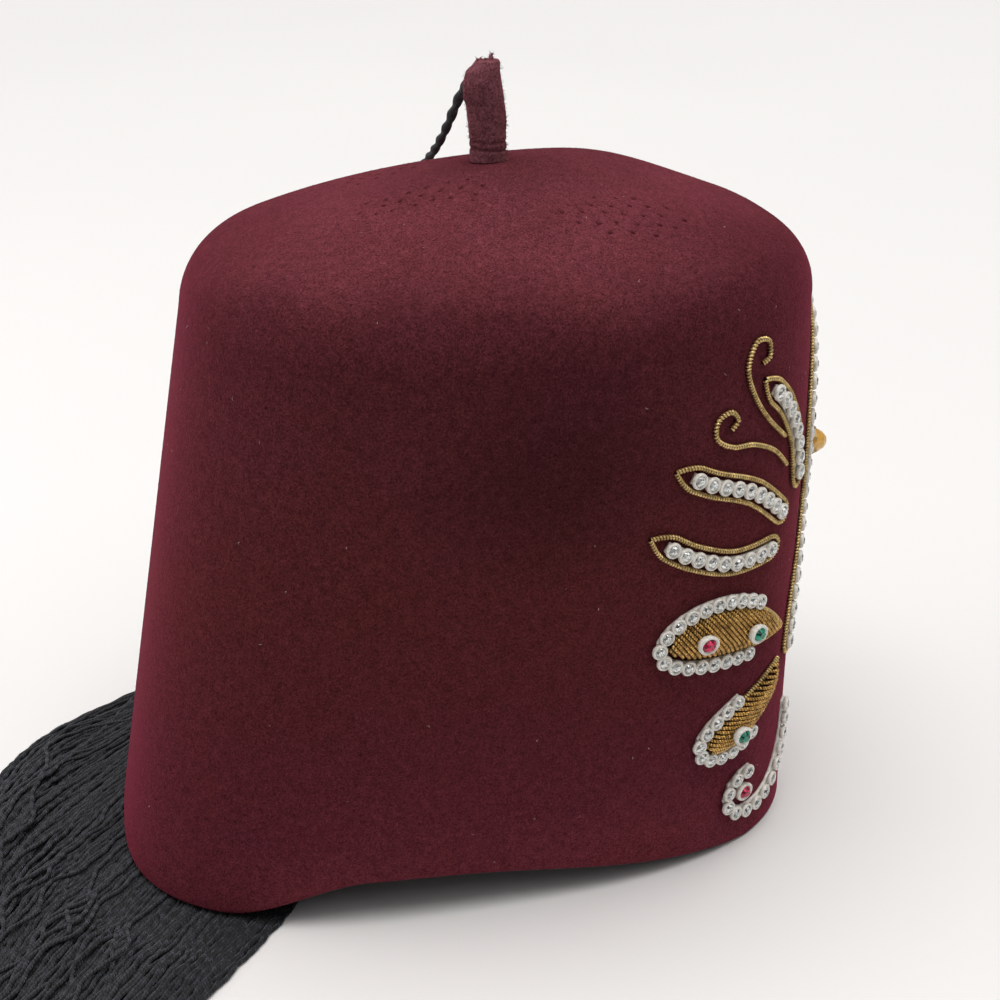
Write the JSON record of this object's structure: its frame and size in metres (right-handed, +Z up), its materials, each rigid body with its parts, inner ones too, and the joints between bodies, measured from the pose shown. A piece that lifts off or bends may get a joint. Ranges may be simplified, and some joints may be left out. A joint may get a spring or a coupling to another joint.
{
  "type": "fez hat with tassel",
  "caption": "Hollow felt fez with a rolled stem, a loose cord and fringe tassel, and a stitched front ornament of bullion pads and set stones.",
  "frame": {"origin": "on the surface that the hat rests on, under the middle of the hat without its cord and tassel", "axes": "+Z up along the stem, -Y to the front with the ornament, -X to the wearer's right"},
  "size_m": [0.2594, 0.2747, 0.2239],
  "materials": {
    "felt": "dense maroon wool felt, brushed, with a soft nap",
    "stem_felt": "rolled maroon felt, darker",
    "cord": "black twisted cord",
    "fringe": "dark crinkled rayon fringe",
    "bullion": "antique gold bullion wire coils and gilt setting",
    "rhinestone": "clear faceted stones in white cups",
    "ruby": "red faceted stone in a white cup",
    "emerald": "green faceted stone in a white cup",
    "amber": "amber domed stone"
  },
  "bodies": {
    "root": {"crown": "felt", "stem": "stem_felt", "tassel_cord": "cord", "tassel_head": "cord", "tassel_fringe": "fringe", "boss_stone": "amber", "boss_setting": "bullion", "medallion_stones": "rhinestone", "bud_pad": "bullion", "branch_stones_right": "rhinestone", "leaf_stones_low_right": "rhinestone", "leaf_stones_middle_right": "rhinestone", "leaf_stones_top_right": "rhinestone", "tendril_stones_right": "rhinestone", "large_pad_right": "bullion", "large_pad_border_right": "rhinestone", "small_pad_right": "bullion", "small_pad_border_right": "rhinestone", "ruby_outer_right": "ruby", "emerald_inner_right": "emerald", "emerald_lower_right": "emerald", "ruby_tendril_right": "ruby", "side_amber_right": "amber", "branch_stones_left": "rhinestone", "leaf_stones_low_left": "rhinestone", "leaf_stones_middle_left": "rhinestone", "leaf_stones_top_left": "rhinestone", "tendril_stones_left": "rhinestone", "large_pad_left": "bullion", "large_pad_border_left": "rhinestone", "small_pad_left": "bullion", "small_pad_border_left": "rhinestone", "ruby_outer_left": "ruby", "emerald_inner_left": "emerald", "emerald_lower_left": "emerald", "ruby_tendril_left": "ruby", "side_amber_left": "amber"}
  },
  "joints": []
}
